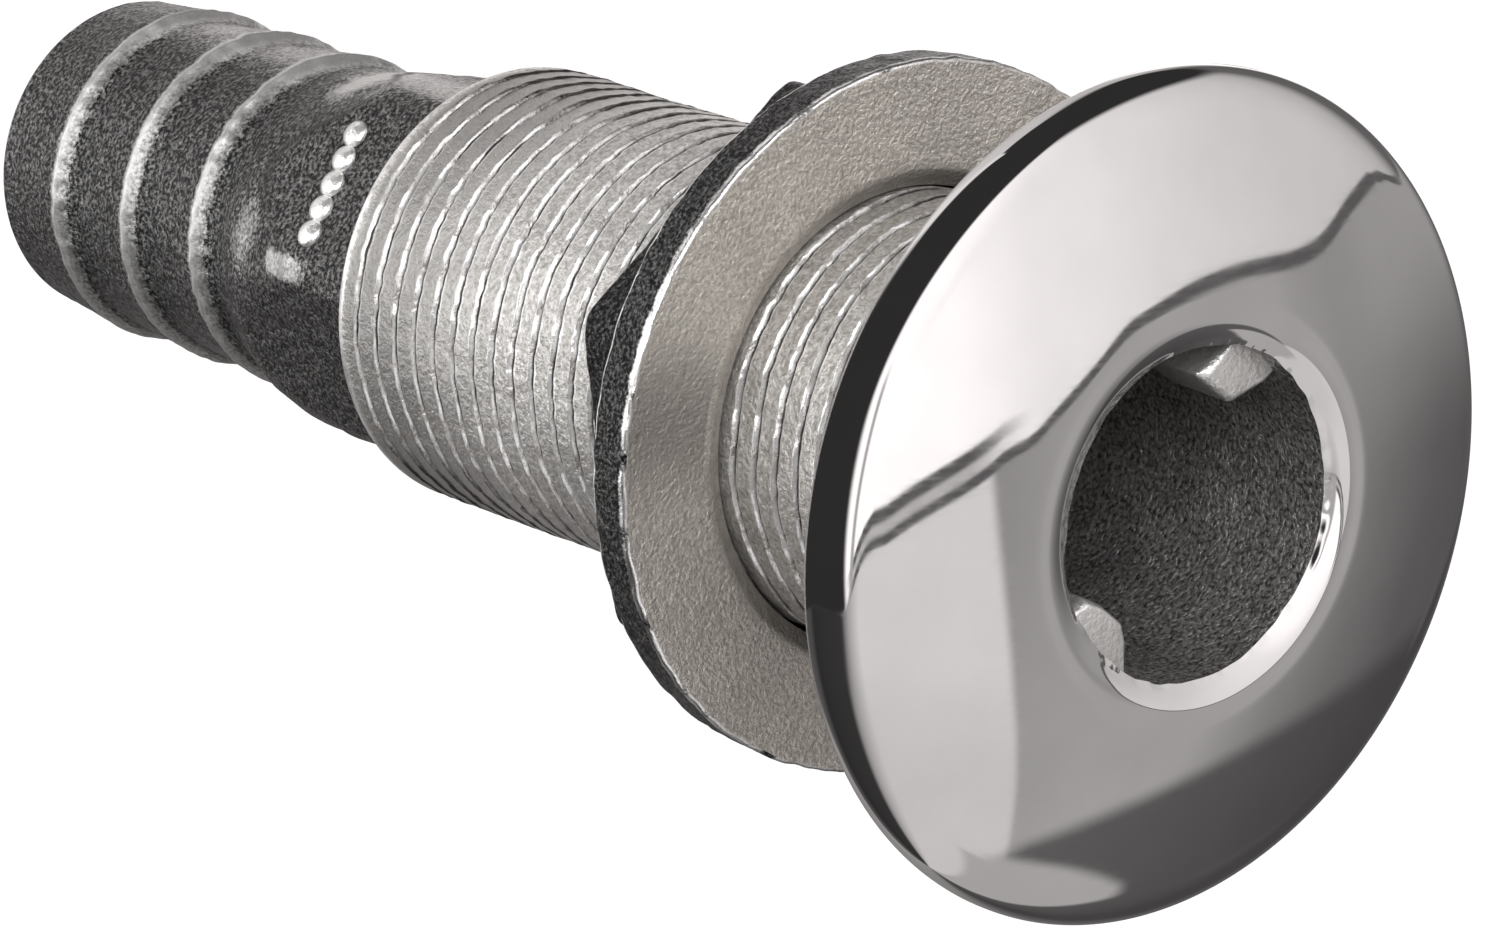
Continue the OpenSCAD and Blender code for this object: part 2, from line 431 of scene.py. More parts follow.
def head_piece(polished, back_look):
    """Domed head that rolls off to a thin edge, its flat back, and the lip and mouth of the bore."""
    turn = columns()
    dome_r = np.linspace(LIP_START_R, DOME_EDGE[0], 44)
    dome = np.stack([dome_r, DOME_CENTRE_Y - np.sqrt(DOME_R ** 2 - dome_r ** 2)], 1)
    # How far the curves' control points stand from the dome and from the lip's end.
    leave, meet = 1.5, 1.1
    slope = math.asin(DOME_EDGE[0] / DOME_R)
    lip_slope = math.asin(LIP_START_R / DOME_R)
    outline = np.concatenate([
        dome,
        curve(DOME_EDGE,
              (DOME_EDGE[0] + leave * math.cos(slope), DOME_EDGE[1] + leave * math.sin(slope)),
              (HEAD_R, RIM_FRONT), (HEAD_R, RIM_BACK), 18),
        line((HEAD_R, RIM_BACK), (HEAD_R, -BACK_ROUND), 1),
        arc((HEAD_R - BACK_ROUND, -BACK_ROUND), BACK_ROUND, 0, 90, 6)[1:],
        line((HEAD_R - BACK_ROUND, 0), (NECK_R + NECK_FILLET, 0), 10),
        arc((NECK_R + NECK_FILLET, NECK_FILLET), NECK_FILLET, 270, 180, 7)[1:],
        line((NECK_R, NECK_FILLET), (NECK_R, HEAD_JOIN), 2),
        line((NECK_R, HEAD_JOIN), (SLEEVE_R, HEAD_JOIN), 2),
        line((SLEEVE_R, HEAD_JOIN), (SLEEVE_R, SLEEVE_FRONT), 2),
        line((SLEEVE_R, SLEEVE_FRONT), LIP_END, 4),
        curve(LIP_END, (LIP_END[0] + meet * math.cos(LIP_END_SLOPE),
                        LIP_END[1] - meet * math.sin(LIP_END_SLOPE)),
              (LIP_START_R - leave * math.cos(lip_slope), dome[0, 1] - leave * math.sin(lip_slope)),
              dome[0], 18)[:-1],
    ])
    r, y = rows_of(outline)
    x, z = r * np.cos(turn), r * np.sin(turn)
    on_dome = smooth_step(r, BORE_R + 1.0, BORE_R + 4.0) * (y < DOME_EDGE[1])
    y = y + on_dome * dents(x, z, 14.0, 34.0, 0.010, 3)
    at_edge = 1 - smooth_step(np.hypot(r - LIP_END[0], y - LIP_END[1]), 0.0, 0.6)
    r = r + at_edge * (ragged_edge(turn) + bore_unevenness(r, y, turn) - r)
    y = y + at_edge * ragged_edge(turn)
    polished_to = -0.8
    look = ((y > polished_to) & (r > BORE_R + 1)).astype(int)
    return ring_piece("mushroom_head", r, y, [polished, back_look], look)


GROOVE_SHAPE = (
    # phase of the pitch from the groove's centre, share of the groove's depth
    (-0.42, 0.02), (-0.29, 0.0), (-0.18, -0.05), (-0.135, 0.05), (-0.10, 0.90), (-0.03, 1.0),
    (0.050, 1.0), (0.098, 0.45), (0.150, -0.04), (0.20, -0.08), (0.31, 0.0),
)


def screw_rows(start, end, count):
    """Rows that follow the thread from start to end, and the row that each meets after a turn."""
    turn = columns(count)
    per_pitch = len(GROOVE_SHAPE)
    pitches = math.ceil((end - start) / PITCH) + 2
    phase = np.concatenate([[p + i for p, _ in GROOVE_SHAPE] for i in range(pitches)])
    share = np.tile([s for _, s in GROOVE_SHAPE], pitches)
    first_centre = start + (FIRST_GROOVE - start) % PITCH
    y = first_centre + (phase[:, None] - turn / TURN) * PITCH
    wrap = np.maximum(np.arange(len(phase)) - per_pitch, 0)
    return turn, y, np.broadcast_to(share[:, None], y.shape), wrap


def thread_highlight_and_shade(turn, y, share, burr, fade, end):
    """Painted highlights, and dirt and painted shade, of the barrel's screw rows."""
    # Painted highlights make the grooves' walls shine at the lit side of the barrel; elsewhere painted
    # shade darkens them, and the groove floors hold dirt and painted shade.
    lit_side = (0.5 + 0.5 * np.cos(turn - LIT_TURN)) ** 4
    wall = (share > -0.06) & (share < 0.6) & (np.abs(share) > 0.02)
    wear_and_highlight = wall * np.clip(0.45 + 0.4 * burr, 0, 1) * (0.25 + 0.75 * lit_side)
    # A painted highlight along the barrel's end edge.
    wear_and_highlight += 0.6 * smooth_step(y, end - 0.9, end - 0.1)
    dirt_and_shade_from = 0.2 + 0.4 * lit_side
    dirt_and_shade = smooth_step(share, dirt_and_shade_from, dirt_and_shade_from + 0.3) * fade
    dirt_and_shade += 0.5 * wall * (1 - lit_side) ** 2
    # The crests grow duller towards the tail.
    dull_from, dull_to = 44.0, 66.0
    dirt_and_shade += 0.42 * smooth_step(y, dull_from, dull_to) * (share < 0.05) * fade
    return wear_and_highlight, dirt_and_shade


def barrel_piece(satin, bore_look):
    """Threaded barrel with its bore, from behind the head to the wrench hexagon."""
    start, end = THREAD_START, BARREL_END - 0.4
    turn, screw_y, share, wrap = screw_rows(start, end, BARREL_COLUMNS)
    screw_y = np.clip(screw_y + ripple(turn, screw_y, (5, 18), 14, 0.05, 21)
                      + ripple(turn, screw_y, (30, 80), 5, 0.028, 22), start, end)
    depth = GROOVE_DEPTH * np.clip(1 + ripple(turn, screw_y, (5, 20), 11, 0.22, 23), 0.4, 1.6)
    burr = np.clip(1 + ripple(turn, screw_y, (10, 48), 4, 0.8, 26), -0.3, 2)
    fade = smooth_step(screw_y, start, start + 1.6) * (1 - smooth_step(screw_y, end - 1.0, end))
    ends = smooth_step(screw_y, start, start + 1.0) * (1 - smooth_step(screw_y, end - 0.3, end))
    crest = (ripple(turn, screw_y, (4, 14), 16, 0.035, 24)
             + ripple(turn, screw_y, (30, 90), 3, 0.016, 25)) * ends
    cut = np.where(share < -0.01, share * burr, share)
    screw_r = THREAD_R + crest - cut * depth * fade
    before = np.array([LIP_END, (SLEEVE_R, SLEEVE_FRONT), (SLEEVE_R, HEAD_JOIN),
                       (NECK_R, HEAD_JOIN), (NECK_R, THREAD_START - NECK_CONE)])
    chamfer = [(THREAD_R - 0.15, BARREL_END - 0.15), (THREAD_R - BARREL_CHAMFER, BARREL_END)]
    end_face = line(chamfer[-1], (TAIL_BORE_R, BARREL_END), 4)
    near_lip = (BORE_R, LIP_END[1] + 1.2)
    after = np.concatenate([
        chamfer,
        end_face,
        line((TAIL_BORE_R, BARREL_END), (BORE_R, BORE_STEP), 4),
        line((BORE_R, BORE_STEP), near_lip, 26),
        line(near_lip, LIP_END, 7)[:-1],
    ])
    r0, y0 = rows_of(before, BARREL_COLUMNS)
    r1, y1 = rows_of(after, BARREL_COLUMNS)
    r = np.concatenate([r0, screw_r, r1])
    y = np.concatenate([y0, screw_y, y1])
    first = len(before)
    bore_from = first + len(screw_r) + len(chamfer) + len(end_face)
    inside = np.zeros(r.shape, bool)
    inside[0] = True
    inside[bore_from:] = True
    r = np.where(inside, bore_unevenness(r, y, turn), r)
    at_edge = inside * (1 - smooth_step(y - LIP_END[1], 0.0, 0.8))
    r = r + at_edge * ragged_edge(turn)
    y = y + at_edge * ragged_edge(turn)
    full_wrap = np.arange(len(r))
    full_wrap[first:first + len(wrap)] = wrap + first
    look = np.zeros(r.shape, int)
    look[bore_from - 1:] = 1
    look[0] = 1
    wear_and_highlight, dirt_and_shade = np.zeros(r.shape), np.zeros(r.shape)
    screw = slice(first, first + len(wrap))
    wear_and_highlight[screw], dirt_and_shade[screw] = thread_highlight_and_shade(turn, screw_y, share, burr, fade, end)
    return ring_piece("threaded_barrel", r, y, [satin, bore_look], look, full_wrap, 50, wear_and_highlight, dirt_and_shade)


def hexagon_rows(turn, sheen):
    """Wrench hexagon and shoulder, from the barrel to the first barb: r, y, wear and painted
    highlight, and dirt and painted shade.
    """
    hex_y = np.concatenate([np.linspace(BARREL_END, BARREL_END + 1.2, 7),
                            np.linspace(BARREL_END + 1.6, BARB_Y[0] - BARB_STEP - 0.3, 52)])
    y = hex_y[:, None] * np.ones(COLUMNS)
    upper = 0.5 + 0.5 * np.cos(turn - UPPER_SIDE)
    shoulder = (upper * rounded_interp(y, UPPER_SHOULDER, 0.8)
                + (1 - upper) * rounded_interp(y, LOWER_SHOULDER, 0.8))
    # Nearer the barrel than its own start, the shoulder stands clear of the hexagon.
    shoulder += np.clip(BARREL_END + 9.2 - y, 0, None)
    flats = soft_min(hex_radius(turn, WRENCH_AF, WRENCH_TURN), WRENCH_ROUND_R, 0.22)
    r = soft_min(flats * np.ones_like(y), shoulder, 0.5)
    r = np.maximum(r, BARB_ROOT_R)
    # A fillet where the hexagon leaves the barrel.
    r += 0.7 * np.exp(-(y - BARREL_END) / 0.35) * (y < BARREL_END + 2)
    # A painted highlight on the hexagon's corners that face the light, the edge at the barrel rubbed
    # bright, and two painted highlights on the shoulder.
    corner = np.abs(np.mod(turn - WRENCH_TURN, TURN / 6) - TURN / 12)
    edge = smooth_step(corner, math.radians(24.5), math.radians(27.5)) * (r > WRENCH_ROUND_R - 0.5)
    facing_light = (0.5 + 0.5 * np.cos(turn - WRENCH_TURN - TURN / 3)) ** 6
    wear_and_highlight = (0.6 * edge * facing_light * smooth_step(y, BARREL_END + 4.0, BARREL_END + 8.5)
            + 0.35 * smooth_step(y, BARREL_END + 0.9, BARREL_END + 0.2))
    for highlight_turn, highlight_y, spread, length, amount in SHOULDER_HIGHLIGHTS:
        wear_and_highlight = wear_and_highlight + amount * np.exp(-((turn - math.radians(highlight_turn)) / spread) ** 2
                                      - ((y - highlight_y) / length) ** 2)
    # The painted sheen along the top, weaker towards the barbs.
    wear_and_highlight = wear_and_highlight + sheen * (1 - 0.6 * smooth_step(y, *SHEEN_FALL))
    # A darker line where the flats meet the shoulder, on the upper side.
    meeting = np.exp(-((flats - shoulder) / 0.16) ** 2) * upper
    return r, y, wear_and_highlight, 0.9 * meeting


def tail_piece(cast, bore_look):
    """Wrench hexagon, shoulder and barbed hose tail, with the tail's bore."""
    turn = columns()
    # A painted sheen runs along the top, where light falls.
    sheen = 0.62 * np.exp(-((turn - SHEEN_TURN) / 0.34) ** 2)
    grid_r, grid_y, grid_wear_and_highlight, grid_dirt_and_shade = ([grid] for grid in hexagon_rows(turn, sheen))

    def add(outline, worn=0.0):
        rr, yy = rows_of(outline)
        grid_r.append(rr)
        grid_y.append(yy)
        # The painted sheen runs on over the barbs, but not past the last barb.
        grid_wear_and_highlight.append(np.reshape(worn, (-1, 1)) + 0.8 * sheen * (yy < BARB_Y[-1]))
        grid_dirt_and_shade.append(np.zeros(rr.shape))

    rise = BARB_R - BARB_ROOT_R
    crest_r = BARB_R - 0.05
    tip_y = TAIL_END - TIP_ROUND
    for i, barb_y in enumerate(BARB_Y):
        # The step up to the crest, which faces the head and is rubbed bright.
        t = np.linspace(0, 1, 11)
        step_r = BARB_ROOT_R + rise * (0.35 * t + 0.65 * t ** 3)
        add(np.stack([step_r, barb_y - BARB_STEP * (1 - t)], 1),
            0.60 * smooth_step(t, 0.0, 0.85) + 0.40 * smooth_step(t, 0.86, 1.0))
        crest_y = barb_y + BARB_CREST_END
        add([(BARB_R + 0.03, barb_y + 0.12), (crest_r, crest_y)], [1.0, 0.7])
        # The long slope down to the next barb or to the tip.
        last = i + 1 == len(BARB_Y)
        next_r, next_y = (TIP_R, tip_y) if last else (BARB_ROOT_R, BARB_Y[i + 1] - BARB_STEP)
        t = np.linspace(0.05, 1, 18) if last else np.linspace(0.05, 1, 18)[:-1]
        slope_r = crest_r + (next_r - crest_r) * (1 - (1 - t) ** 1.25)
        add(np.stack([slope_r, crest_y + (next_y - crest_y) * t], 1),
            0.3 * (1 - smooth_step(t, 0.0, 0.12)))
    outside = sum(len(part) for part in grid_r)
    face_r, bore_round_r = TIP_R - TIP_ROUND, TAIL_BORE_R + TIP_BORE_ROUND
    add(arc((face_r, tip_y), TIP_ROUND, 0, 90, 6)[1:], 0.6)
    add(line((face_r, TAIL_END), (bore_round_r, TAIL_END), 4), 0.3)
    add(arc((bore_round_r, TAIL_END - TIP_BORE_ROUND), TIP_BORE_ROUND, 90, 180, 5)[1:], 0.4)
    ending = sum(len(part) for part in grid_r)
    add(line((TAIL_BORE_R, TAIL_END - TIP_BORE_ROUND), (TAIL_BORE_R, BARREL_END), 24))
    r, y = np.concatenate(grid_r), np.concatenate(grid_y)
    wear_and_highlight, dirt_and_shade = np.concatenate(grid_wear_and_highlight), np.concatenate(grid_dirt_and_shade)
    uneven = ripple(turn, y, (3, 10), 22, 0.04, 31) + ripple(turn, y, (20, 60), 3.5, 0.02, 32)
    settle = smooth_step(y, BARREL_END, BARREL_END + 1.5)
    row = np.arange(len(r))
    r = np.where((row < outside)[:, None], r + uneven * settle, r)
    y = np.where((row < outside)[:, None],
                 y + settle * ripple(turn, y, (5, 50), 9, 0.055, 33, 22), y)
    inner = (row >= ending)[:, None]
    r = np.where(inner, bore_unevenness(r, y, turn), r)
    look = inner * np.ones(r.shape, int)
    return ring_piece("hose_tail", r, y, [cast, bore_look], look, sharp=42, wear_and_highlight=wear_and_highlight, dirt_and_shade=dirt_and_shade)


def washer_piece(face, rim):
    """Round flange washer with a worn edge and a countersunk bore."""
    turn = columns(CLAMP_COLUMNS)
    front, back = washer_lo.y, washer_hi.y
    bevel, back_bevel, bore_bevel = 0.34, 0.3, 0.3
    back_r = WASHER_R - 0.2
    sink_foot = (WASHER_BORE_R, front + SINK_DEPTH)
    bore_foot = (WASHER_BORE_R, back - bore_bevel)
    parts = [
        # outline, look, wear and highlight, dirt and shade
        (line((SINK_R, front), (WASHER_R - bevel, front), 22), 0, 0.0, 0.0),
        (arc((WASHER_R - bevel, front + bevel), bevel, 280, 350, 5), 1, 0.85, 0.0),
        (line((WASHER_R - 0.02, front + bevel + 0.1), (back_r, back - back_bevel - 0.05), 8),
         1, 0.0, 0.0),
        (arc((back_r - back_bevel, back - back_bevel), back_bevel, 10, 90, 5), 1, 0.75, 0.0),
        (line((WASHER_R - 0.6, back), (WASHER_BORE_R + bore_bevel, back), 12), 1, 0.0, 0.0),
        (line((WASHER_BORE_R + bore_bevel, back), bore_foot, 1), 1, 0.0, 0.0),
        (line(bore_foot, sink_foot, 4), 0, 0.0, 0.8),
        (line(sink_foot, (SINK_R, front), 7)[:-1], 0, 0.0, 0.75),
    ]
    outline = np.concatenate([points for points, *_ in parts])
    sizes = [len(points) for points, *_ in parts]
    look, wear_and_highlight, dirt_and_shade = (np.repeat([part[i] for part in parts], sizes)[:, None] for i in (1, 2, 3))
    r, y = rows_of(outline, CLAMP_COLUMNS)
    x, z = r * np.cos(turn), r * np.sin(turn)
    on_face = np.abs(y - front) < 0.2
    y = y + on_face * dents(x, z, 5.0, 14.0, 0.022, 41) * smooth_step(r, SINK_R - 1, SINK_R + 1)
    edge = smooth_step(r, SINK_R + 2, WASHER_R - 0.5)
    r = r + edge * (ripple(turn, y, (2, 7), 20, 0.05, 42) + ripple(turn, y, (25, 90), 2, 0.035, 43))
    wear_and_highlight = np.clip(wear_and_highlight * (1 + ripple(turn, 0, (10, 70), 1, 0.3, 44)), 0, 1)
    # Painted shade darkens one side of the face, where the head shades it, and the countersink and
    # bore except at the lit side.
    head_shade = 0.50 * np.exp(-((turn - HEAD_SHADE_TURN) / 0.34) ** 2) * (r > SINK_R + 0.5) * (look == 0)
    dirt_and_shade = dirt_and_shade * (1 - 0.75 * (0.5 + 0.5 * np.cos(turn - LIT_TURN)) ** 2) + head_shade
    piece = ring_piece("flange_washer_casting", r, y, [face, rim],
                       np.broadcast_to(look, r.shape), sharp=50, wear_and_highlight=wear_and_highlight, dirt_and_shade=dirt_and_shade)
    piece.data.transform(Matrix.Translation((0, 0, -WASHER_DROP * MM)))
    return piece


def nut_piece(cast):
    """Hexagonal backing nut with slightly rounded edges and its own thread."""
    front, back = nut_lo.y, nut_hi.y
    start, end = front + 0.5, back - 0.5
    turn, screw_y, share, wrap = screw_rows(start, end, CLAMP_COLUMNS)
    screw_y = np.clip(screw_y, start, end)
    fade = smooth_step(screw_y, start, front + 1.2) * (1 - smooth_step(screw_y, back - 1.2, end))
    screw_r = NUT_THREAD_R - np.clip(share, 0, 1) * NUT_THREAD_DEPTH * fade
    flats = soft_min(hex_radius(turn, NUT_AF, NUT_TURN), NUT_ROUND_R, 0.5)
    edge = 0.42
    side_y = np.concatenate([[front], front + edge * np.linspace(0.15, 1, 4),
                             np.linspace(front + 0.9, back - 0.9, 14),
                             back - edge * np.linspace(1, 0.1, 5), [back]])
    from_end = np.minimum(side_y - front, back - side_y)
    sunk = edge * (1 - np.sqrt(1 - np.clip(1 - from_end / edge, 0, 1) ** 2))
    side = flats - sunk[:, None]
    blend = np.linspace(0, 1, 8)[1:-1, None]
    ring_r = NUT_BORE_R + 0.5
    r0, y0 = rows_of([(NUT_THREAD_R, start), (ring_r, front)], CLAMP_COLUMNS)
    face_r = ring_r * (1 - blend) + side[0] * blend
    back_r = side[-1] * (1 - blend) + ring_r * blend
    r2, y2 = rows_of([(ring_r, back)], CLAMP_COLUMNS)
    r = np.concatenate([r0, face_r, side, back_r, r2, screw_r[::-1]])
    y = np.concatenate([y0, np.full_like(face_r, front), side_y[:, None] * np.ones_like(side),
                        np.full_like(back_r, back), y2, screw_y[::-1]])
    begin = len(r) - len(screw_r)
    side_from = len(r0) + len(face_r)
    uneven = ripple(turn, y, (3, 12), 12, 0.05, 51) + ripple(turn, y, (25, 80), 3, 0.025, 52)
    outer = (np.arange(len(r)) < begin)[:, None] * smooth_step(r, NUT_BORE_R + 1, NUT_BORE_R + 3)
    r = r + uneven * outer
    wear_and_highlight = np.zeros(r.shape)
    wear_and_highlight[side_from:side_from + len(side_y)] = (0.7 * smooth_step(from_end, 0.45, 0.1))[:, None]
    full_wrap = np.arange(len(r))
    full_wrap[begin:] = begin + len(screw_r) - 1 - wrap[::-1]
    return ring_piece("hex_nut_casting", r, y, [cast], None, full_wrap, 42, wear_and_highlight)


# Corners of the lugs' faces: distance from the axis, and angle in degrees.
UPPER_LUG = ((12.7, 65), (12.9, 42), (11.4, 41), (8.5, 49), (9.4, 76))
LOWER_LUG = ((12.7, -150), (9.6, -148), (8.8, -138), (8.9, -120), (10.2, -114), (12.7, -112))


def lug_piece(name, corners, look):
    """A cast driver lug: a faceted block on the wall of the bore, just inside the mouth."""
    front = LIP_END[1] + 2.0
    # Depth behind the front, and size there.
    layers = [(0.0, 0.80), (0.55, 1.0), (6.5, 0.97), (9.0, 0.55)]
    uneven = 0.06
    flat = [(r * math.cos(math.radians(a)), r * math.sin(math.radians(a))) for r, a in corners]
    middle = Vector(np.mean(flat, axis=0))
    rng = np.random.default_rng(60)
    points = []
    for depth, size in layers:
        for (radius, _), place in zip(corners, flat):
            corner = Vector(place)
            corner = corner if radius > BORE_R else middle + (corner - middle) * size
            slope = 0.10 * (BORE_R - radius)
            points.append(((corner.x + rng.uniform(-uneven, uneven)) * MM,
                           (front + depth + slope) * MM,
                           (corner.y + rng.uniform(-uneven, uneven)) * MM))
    n = len(corners)
    faces = [(a + i, a + (i + 1) % n, a + n + (i + 1) % n, a + n + i)
             for a in range(0, n * (len(layers) - 1), n) for i in range(n)]
    faces.append(tuple(reversed(range(n))))
    faces.append(tuple(range((len(layers) - 1) * n, len(layers) * n)))
    mesh = bpy.data.meshes.new(name)
    mesh.from_pydata(points, [], faces)
    mesh.materials.append(look)
    piece = add_object(name, mesh)
    bevel = piece.modifiers.new("worn_edges", "BEVEL")
    bevel.width = 0.22 * MM
    bevel.segments = 3
    bevel.limit_method = "ANGLE"
    bevel.angle_limit = math.radians(18)
    mesh.shade_smooth()
    return piece


def pips_piece(look):
    """A row of plain round pips on one flat of the wrench hexagon."""
    flat_turn = WRENCH_TURN + TURN * 1.5 / 6
    out = Vector((math.cos(flat_turn), 0, math.sin(flat_turn)))
    along = Vector((-math.sin(flat_turn), 0, math.cos(flat_turn)))
    points, faces = [], []
    rings, sides = 8, 28
    # The row starts off the flat's middle, leans a little, and is sunk into the flat.
    row_start, row_y, lean, sunk = -3.8, 78.9, 0.25, 0.25
    for i in range(PIP_COUNT):
        centre = out * (WRENCH_AF / 2 - sunk) + along * (row_start + PIP_STEP * i)
        centre.y = row_y - lean * i
        base = len(points)
        for ring in range(rings):
            lift = math.pi / 2 * ring / rings
            for side in range(sides):
                angle = TURN * side / sides
                spread = PIP_R * math.cos(lift)
                points.append(centre + along * spread * math.cos(angle)
                              + Vector((0, spread * math.sin(angle), 0))
                              + out * (sunk + PIP_HEIGHT * math.sin(lift) if ring else 0))
        points.append(centre + out * (sunk + PIP_HEIGHT))
        for ring in range(rings - 1):
            for side in range(sides):
                after = (side + 1) % sides
                a, b = base + ring * sides, base + (ring + 1) * sides
                faces.append((a + side, b + side, b + after, a + after))
        top, last = base + rings * sides, base + (rings - 1) * sides
        faces += [(last + side, top, last + (side + 1) % sides) for side in range(sides)]
        faces.append(tuple(base + side for side in range(sides)))
    mesh = bpy.data.meshes.new("wrench_flat_pips")
    mesh.from_pydata([p * MM for p in points], [], faces)
    mesh.materials.append(look)
    mesh.shade_smooth()
    mesh.set_sharp_from_angle(angle=math.radians(50))
    return add_object("wrench_flat_pips", mesh)


# ---------------------------------------------------------------- studio

def direction(azimuth, elevation):
    """Unit vector at an azimuth, in degrees from -Y towards +X, and an elevation."""
    azimuth, elevation = math.radians(azimuth), math.radians(elevation)
    return Vector((math.sin(azimuth) * math.cos(elevation),
                   -math.cos(azimuth) * math.cos(elevation), math.sin(elevation)))


def studio_world():
    """A studio that lights the part and shows in its finish; the camera sees plain white.

    Azimuth runs from -Y, in front of the head, towards +X; both angles are in degrees.
    """
    world = bpy.data.worlds.new("studio")
    bpy.context.scene.world = world
    world.use_nodes = True
    nodes, links = world.node_tree.nodes, world.node_tree.links
    nodes.clear()

    def feed(socket, value):
        if isinstance(value, (int, float)):
            socket.default_value = value
        else:
            links.new(value, socket)

    def math_node(operation, *values):
        node = nodes.new("ShaderNodeMath")
        node.operation = operation
        for socket, value in zip(node.inputs, values):
            feed(socket, value)
        return node.outputs[0]

    def window(value, start, end):
        """0 at start, 1 at end."""
        node = nodes.new("ShaderNodeMapRange")
        node.interpolation_type = "SMOOTHSTEP"
        flip = start > end
        node.inputs["From Min"].default_value = min(start, end)
        node.inputs["From Max"].default_value = max(start, end)
        node.inputs["To Min"].default_value = 1.0 if flip else 0.0
        node.inputs["To Max"].default_value = 0.0 if flip else 1.0
        feed(node.inputs["Value"], value)
        return node.outputs["Result"]

    def near(value, place, outer, inner):
        """0 farther than outer from the place, 1 nearer than inner."""
        return window(math_node("ABSOLUTE", math_node("SUBTRACT", value, place)), outer, inner)

    def all_of(*parts):
        total = parts[0]
        for part in parts[1:]:
            total = math_node("MULTIPLY", total, part)
        return total

    def blend(factor, a, b):
        node = nodes.new("ShaderNodeMix")
        node.data_type = "FLOAT"
        for socket, value in zip(node.inputs[:1] + node.inputs[2:4], (factor, a, b)):
            feed(socket, value)
        return node.outputs[0]

    def by_azimuth(stops, smooth=False):
        source = ramp(nodes, links, share, [((a + 180) / 360, v) for a, v in stops])
        source.node.color_ramp.interpolation = "CARDINAL" if smooth else "LINEAR"
        return source

    way = nodes.new("ShaderNodeSeparateXYZ")
    links.new(nodes.new("ShaderNodeTexCoord").outputs["Generated"], way.inputs[0])
    x, y, z = way.outputs
    azimuth = math_node("DEGREES", math_node("ARCTAN2", x, math_node("MULTIPLY", y, -1.0)))
    height = math_node("DEGREES", math_node("ARCSINE", z))
    share = math_node("MULTIPLY_ADD", azimuth, 1 / 360, 0.5)
    upper = by_azimuth([(-180, 0.8), (-166, 0.9), (-156, 0.12), (-130, 0.08), (-32, 0.06),
                        (-24, 0.15), (-16, 1.3), (0, 1.28), (9, 1.22), (20, 0.97), (30, 0.90),
                        (45, 0.75), (65, 0.63), (78, 0.5), (92, 0.14), (118, 0.12), (132, 0.5),
                        (155, 0.6), (180, 0.7)])
    wall = by_azimuth([(-180, 0.30), (-168, 0.35), (-158, 0.10), (-112, 0.03), (-21, 0.04), (20, 0.36),
                       (35, 0.41), (50, 0.40), (60, 0.265), (70, 0.18), (80, 0.12), (90, 0.10),
                       (125, 0.12), (150, 0.25), (180, 0.30)])
    card = by_azimuth([(-22, 0.06), (-14, 0.40), (-3, 0.74), (20, 0.74)])
    # The edge where the sweep meets the wall climbs from the left and then runs level.
    low, span = -30.0, 60.0
    edge = math_node("MULTIPLY_ADD", by_azimuth(
        [(a, (e - low) / span) for a, e in ((-20, -22), (-2, -15.3), (3, -12.3), (13, -8), (19, -5.2),
                                            (28, 0.1), (36, 2), (46, 1.9), (56, 0.5), (63, 1.4),
                                            (72, 1.8), (110, 1.8))],
        smooth=True), span, low)
    above = math_node("SUBTRACT", height, edge)
    # The light card at the left, whose edge bends with the height and whose foot is darker.
    bend = -0.0088
    past_card = math_node("MULTIPLY_ADD", math_node("MULTIPLY", height, height), bend, azimuth)
    on_card = all_of(window(past_card, 13.1, 11.5), window(azimuth, -26.0, -18.0))
    light = blend(on_card, wall, card)
    low_card = all_of(on_card, window(height, -24.0, -40.0))
    light = blend(math_node("MULTIPLY", low_card, 0.4), light, 0.5)
    # The lit part of the wall, the dark floor and the light strip under it.
    lit_wall = all_of(window(height, -18.0, -1.0), window(azimuth, 50.0, 68.0),
                      window(azimuth, 120.0, 90.0))
    light = blend(lit_wall, light, 0.36)
    dark_floor = all_of(window(math_node("MULTIPLY_ADD", azimuth, -0.34, height), -54.6, -57.2),
                        window(azimuth, 27.0, 34.0), window(azimuth, 120.0, 100.0))
    light = blend(dark_floor, light, by_azimuth([(35, 0.12), (55, 0.105), (85, 0.065)]))
    strip = all_of(window(height, -45.6, -46.8), window(azimuth, 20.0, 25.0),
                   window(azimuth, 58.0, 54.0))
    light = blend(strip, light, 0.44)
    light = blend(window(above, -0.4, 0.4), light, upper)
    # A dark line along the edge, doubled at the left.
    in_front = all_of(window(azimuth, -16.0, -6.0), window(azimuth, 95.0, 80.0))
    thin = near(above, 0.0, 0.75, 0.40)
    second = all_of(near(above, 2.6, 1.0, 0.5), window(azimuth, 18.0, 10.0))
    tint = all_of(near(above, 1.5, 2.0, 1.2), window(azimuth, 18.0, 10.0))
    light = blend(all_of(tint, in_front), light, 0.55)
    light = blend(all_of(math_node("MAXIMUM", thin, second), in_front), light, 0.11)
    # A seam in the light card.
    seam = all_of(near(azimuth, -10.0, 2.4, 0.6), window(height, 12.0, 6.0),
                  window(above, -1.0, 1.0))
    light = blend(seam, light, 0.45)
